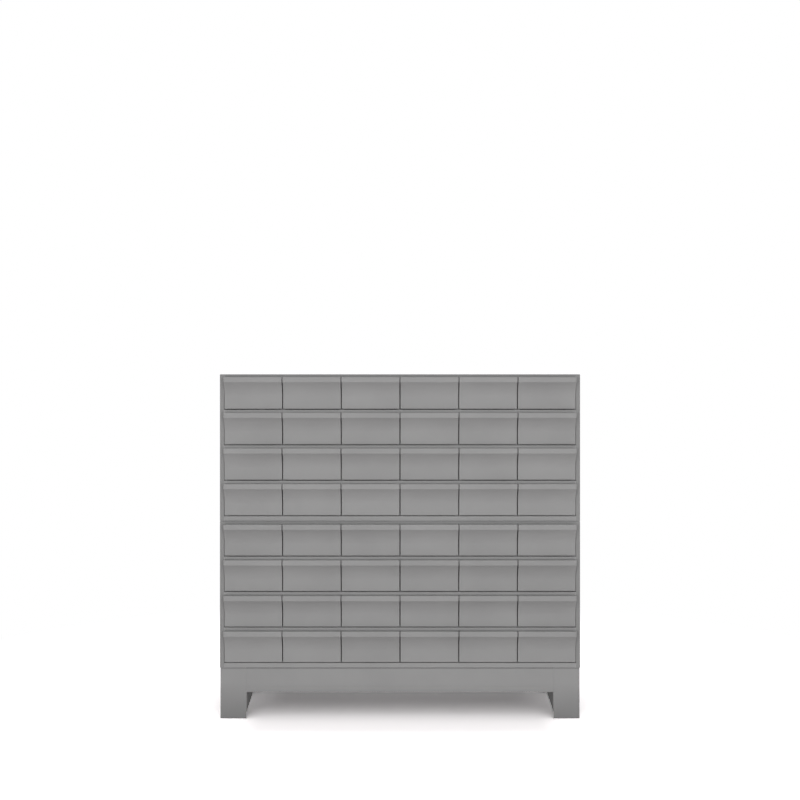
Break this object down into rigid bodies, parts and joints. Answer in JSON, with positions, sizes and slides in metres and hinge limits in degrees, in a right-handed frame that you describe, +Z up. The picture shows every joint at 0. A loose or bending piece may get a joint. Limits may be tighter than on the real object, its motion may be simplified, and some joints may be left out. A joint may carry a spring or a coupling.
{
  "type": "parts bin cabinet",
  "caption": "Wide, low steel small-parts cabinet: two stacked banks of lipped open-top drawers in a grid, on a low base with four angle legs.",
  "frame": {"origin": "on the floor, under the centre of the bounding box, drawer lips included", "axes": "+X to the right seen from the front, +Y to the back, +Z up; the drawer fronts face -Y"},
  "size_m": [0.8572, 0.3292, 0.8191],
  "materials": {
    "case": "satin baked grey enamel on sheet steel, very slight orange peel",
    "drawer": "satin baked grey enamel on sheet steel, slightly brighter at the lips",
    "fastener": "bright zinc plate"
  },
  "bodies": {
    "frame": {"upper_case": "case", "upper_back_panel": "case", "upper_shelves": "case", "upper_guides": "case", "lower_case": "case", "lower_back_panel": "case", "lower_shelves": "case", "lower_guides": "case", "base_legs": "case", "base_aprons": "case", "stacking_bolts": "fastener", "weld_nuts": "fastener"},
    "drawer_r1_c1": {"drawer_r1_c1": "drawer"},
    "drawer_r1_c2": {"drawer_r1_c2": "drawer"},
    "drawer_r1_c3": {"drawer_r1_c3": "drawer"},
    "drawer_r1_c4": {"drawer_r1_c4": "drawer"},
    "drawer_r1_c5": {"drawer_r1_c5": "drawer"},
    "drawer_r1_c6": {"drawer_r1_c6": "drawer"},
    "drawer_r2_c1": {"drawer_r2_c1": "drawer"},
    "drawer_r2_c2": {"drawer_r2_c2": "drawer"},
    "drawer_r2_c3": {"drawer_r2_c3": "drawer"},
    "drawer_r2_c4": {"drawer_r2_c4": "drawer"},
    "drawer_r2_c5": {"drawer_r2_c5": "drawer"},
    "drawer_r2_c6": {"drawer_r2_c6": "drawer"},
    "drawer_r3_c1": {"drawer_r3_c1": "drawer"},
    "drawer_r3_c2": {"drawer_r3_c2": "drawer"},
    "drawer_r3_c3": {"drawer_r3_c3": "drawer"},
    "drawer_r3_c4": {"drawer_r3_c4": "drawer"},
    "drawer_r3_c5": {"drawer_r3_c5": "drawer"},
    "drawer_r3_c6": {"drawer_r3_c6": "drawer"},
    "drawer_r4_c1": {"drawer_r4_c1": "drawer"},
    "drawer_r4_c2": {"drawer_r4_c2": "drawer"},
    "drawer_r4_c3": {"drawer_r4_c3": "drawer"},
    "drawer_r4_c4": {"drawer_r4_c4": "drawer"},
    "drawer_r4_c5": {"drawer_r4_c5": "drawer"},
    "drawer_r4_c6": {"drawer_r4_c6": "drawer"},
    "drawer_r5_c1": {"drawer_r5_c1": "drawer"},
    "drawer_r5_c2": {"drawer_r5_c2": "drawer"},
    "drawer_r5_c3": {"drawer_r5_c3": "drawer"},
    "drawer_r5_c4": {"drawer_r5_c4": "drawer"},
    "drawer_r5_c5": {"drawer_r5_c5": "drawer"},
    "drawer_r5_c6": {"drawer_r5_c6": "drawer"},
    "drawer_r6_c1": {"drawer_r6_c1": "drawer"},
    "drawer_r6_c2": {"drawer_r6_c2": "drawer"},
    "drawer_r6_c3": {"drawer_r6_c3": "drawer"},
    "drawer_r6_c4": {"drawer_r6_c4": "drawer"},
    "drawer_r6_c5": {"drawer_r6_c5": "drawer"},
    "drawer_r6_c6": {"drawer_r6_c6": "drawer"},
    "drawer_r7_c1": {"drawer_r7_c1": "drawer"},
    "drawer_r7_c2": {"drawer_r7_c2": "drawer"},
    "drawer_r7_c3": {"drawer_r7_c3": "drawer"},
    "drawer_r7_c4": {"drawer_r7_c4": "drawer"},
    "drawer_r7_c5": {"drawer_r7_c5": "drawer"},
    "drawer_r7_c6": {"drawer_r7_c6": "drawer"},
    "drawer_r8_c1": {"drawer_r8_c1": "drawer"},
    "drawer_r8_c2": {"drawer_r8_c2": "drawer"},
    "drawer_r8_c3": {"drawer_r8_c3": "drawer"},
    "drawer_r8_c4": {"drawer_r8_c4": "drawer"},
    "drawer_r8_c5": {"drawer_r8_c5": "drawer"},
    "drawer_r8_c6": {"drawer_r8_c6": "drawer"}
  },
  "joints": [
    {"name": "drawer_r1_c1_slide", "type": "slide", "parent": "frame", "child": "drawer_r1_c1", "axis": [0, -1, 0], "range_m": [0, 0.247]},
    {"name": "drawer_r1_c2_slide", "type": "slide", "parent": "frame", "child": "drawer_r1_c2", "axis": [0, -1, 0], "range_m": [0, 0.247]},
    {"name": "drawer_r1_c3_slide", "type": "slide", "parent": "frame", "child": "drawer_r1_c3", "axis": [0, -1, 0], "range_m": [0, 0.247]},
    {"name": "drawer_r1_c4_slide", "type": "slide", "parent": "frame", "child": "drawer_r1_c4", "axis": [0, -1, 0], "range_m": [0, 0.247]},
    {"name": "drawer_r1_c5_slide", "type": "slide", "parent": "frame", "child": "drawer_r1_c5", "axis": [0, -1, 0], "range_m": [0, 0.247]},
    {"name": "drawer_r1_c6_slide", "type": "slide", "parent": "frame", "child": "drawer_r1_c6", "axis": [0, -1, 0], "range_m": [0, 0.247]},
    {"name": "drawer_r2_c1_slide", "type": "slide", "parent": "frame", "child": "drawer_r2_c1", "axis": [0, -1, 0], "range_m": [0, 0.247]},
    {"name": "drawer_r2_c2_slide", "type": "slide", "parent": "frame", "child": "drawer_r2_c2", "axis": [0, -1, 0], "range_m": [0, 0.247]},
    {"name": "drawer_r2_c3_slide", "type": "slide", "parent": "frame", "child": "drawer_r2_c3", "axis": [0, -1, 0], "range_m": [0, 0.247]},
    {"name": "drawer_r2_c4_slide", "type": "slide", "parent": "frame", "child": "drawer_r2_c4", "axis": [0, -1, 0], "range_m": [0, 0.247]},
    {"name": "drawer_r2_c5_slide", "type": "slide", "parent": "frame", "child": "drawer_r2_c5", "axis": [0, -1, 0], "range_m": [0, 0.247]},
    {"name": "drawer_r2_c6_slide", "type": "slide", "parent": "frame", "child": "drawer_r2_c6", "axis": [0, -1, 0], "range_m": [0, 0.247]},
    {"name": "drawer_r3_c1_slide", "type": "slide", "parent": "frame", "child": "drawer_r3_c1", "axis": [0, -1, 0], "range_m": [0, 0.247]},
    {"name": "drawer_r3_c2_slide", "type": "slide", "parent": "frame", "child": "drawer_r3_c2", "axis": [0, -1, 0], "range_m": [0, 0.247]},
    {"name": "drawer_r3_c3_slide", "type": "slide", "parent": "frame", "child": "drawer_r3_c3", "axis": [0, -1, 0], "range_m": [0, 0.247]},
    {"name": "drawer_r3_c4_slide", "type": "slide", "parent": "frame", "child": "drawer_r3_c4", "axis": [0, -1, 0], "range_m": [0, 0.247]},
    {"name": "drawer_r3_c5_slide", "type": "slide", "parent": "frame", "child": "drawer_r3_c5", "axis": [0, -1, 0], "range_m": [0, 0.247]},
    {"name": "drawer_r3_c6_slide", "type": "slide", "parent": "frame", "child": "drawer_r3_c6", "axis": [0, -1, 0], "range_m": [0, 0.247]},
    {"name": "drawer_r4_c1_slide", "type": "slide", "parent": "frame", "child": "drawer_r4_c1", "axis": [0, -1, 0], "range_m": [0, 0.247]},
    {"name": "drawer_r4_c2_slide", "type": "slide", "parent": "frame", "child": "drawer_r4_c2", "axis": [0, -1, 0], "range_m": [0, 0.247]},
    {"name": "drawer_r4_c3_slide", "type": "slide", "parent": "frame", "child": "drawer_r4_c3", "axis": [0, -1, 0], "range_m": [0, 0.247]},
    {"name": "drawer_r4_c4_slide", "type": "slide", "parent": "frame", "child": "drawer_r4_c4", "axis": [0, -1, 0], "range_m": [0, 0.247]},
    {"name": "drawer_r4_c5_slide", "type": "slide", "parent": "frame", "child": "drawer_r4_c5", "axis": [0, -1, 0], "range_m": [0, 0.247]},
    {"name": "drawer_r4_c6_slide", "type": "slide", "parent": "frame", "child": "drawer_r4_c6", "axis": [0, -1, 0], "range_m": [0, 0.247]},
    {"name": "drawer_r5_c1_slide", "type": "slide", "parent": "frame", "child": "drawer_r5_c1", "axis": [0, -1, 0], "range_m": [0, 0.247]},
    {"name": "drawer_r5_c2_slide", "type": "slide", "parent": "frame", "child": "drawer_r5_c2", "axis": [0, -1, 0], "range_m": [0, 0.247]},
    {"name": "drawer_r5_c3_slide", "type": "slide", "parent": "frame", "child": "drawer_r5_c3", "axis": [0, -1, 0], "range_m": [0, 0.247]},
    {"name": "drawer_r5_c4_slide", "type": "slide", "parent": "frame", "child": "drawer_r5_c4", "axis": [0, -1, 0], "range_m": [0, 0.247]},
    {"name": "drawer_r5_c5_slide", "type": "slide", "parent": "frame", "child": "drawer_r5_c5", "axis": [0, -1, 0], "range_m": [0, 0.247]},
    {"name": "drawer_r5_c6_slide", "type": "slide", "parent": "frame", "child": "drawer_r5_c6", "axis": [0, -1, 0], "range_m": [0, 0.247]},
    {"name": "drawer_r6_c1_slide", "type": "slide", "parent": "frame", "child": "drawer_r6_c1", "axis": [0, -1, 0], "range_m": [0, 0.247]},
    {"name": "drawer_r6_c2_slide", "type": "slide", "parent": "frame", "child": "drawer_r6_c2", "axis": [0, -1, 0], "range_m": [0, 0.247]},
    {"name": "drawer_r6_c3_slide", "type": "slide", "parent": "frame", "child": "drawer_r6_c3", "axis": [0, -1, 0], "range_m": [0, 0.247]},
    {"name": "drawer_r6_c4_slide", "type": "slide", "parent": "frame", "child": "drawer_r6_c4", "axis": [0, -1, 0], "range_m": [0, 0.247]},
    {"name": "drawer_r6_c5_slide", "type": "slide", "parent": "frame", "child": "drawer_r6_c5", "axis": [0, -1, 0], "range_m": [0, 0.247]},
    {"name": "drawer_r6_c6_slide", "type": "slide", "parent": "frame", "child": "drawer_r6_c6", "axis": [0, -1, 0], "range_m": [0, 0.247]},
    {"name": "drawer_r7_c1_slide", "type": "slide", "parent": "frame", "child": "drawer_r7_c1", "axis": [0, -1, 0], "range_m": [0, 0.247]},
    {"name": "drawer_r7_c2_slide", "type": "slide", "parent": "frame", "child": "drawer_r7_c2", "axis": [0, -1, 0], "range_m": [0, 0.247]},
    {"name": "drawer_r7_c3_slide", "type": "slide", "parent": "frame", "child": "drawer_r7_c3", "axis": [0, -1, 0], "range_m": [0, 0.247]},
    {"name": "drawer_r7_c4_slide", "type": "slide", "parent": "frame", "child": "drawer_r7_c4", "axis": [0, -1, 0], "range_m": [0, 0.247]},
    {"name": "drawer_r7_c5_slide", "type": "slide", "parent": "frame", "child": "drawer_r7_c5", "axis": [0, -1, 0], "range_m": [0, 0.247]},
    {"name": "drawer_r7_c6_slide", "type": "slide", "parent": "frame", "child": "drawer_r7_c6", "axis": [0, -1, 0], "range_m": [0, 0.247]},
    {"name": "drawer_r8_c1_slide", "type": "slide", "parent": "frame", "child": "drawer_r8_c1", "axis": [0, -1, 0], "range_m": [0, 0.247]},
    {"name": "drawer_r8_c2_slide", "type": "slide", "parent": "frame", "child": "drawer_r8_c2", "axis": [0, -1, 0], "range_m": [0, 0.247]},
    {"name": "drawer_r8_c3_slide", "type": "slide", "parent": "frame", "child": "drawer_r8_c3", "axis": [0, -1, 0], "range_m": [0, 0.247]},
    {"name": "drawer_r8_c4_slide", "type": "slide", "parent": "frame", "child": "drawer_r8_c4", "axis": [0, -1, 0], "range_m": [0, 0.247]},
    {"name": "drawer_r8_c5_slide", "type": "slide", "parent": "frame", "child": "drawer_r8_c5", "axis": [0, -1, 0], "range_m": [0, 0.247]},
    {"name": "drawer_r8_c6_slide", "type": "slide", "parent": "frame", "child": "drawer_r8_c6", "axis": [0, -1, 0], "range_m": [0, 0.247]}
  ]
}
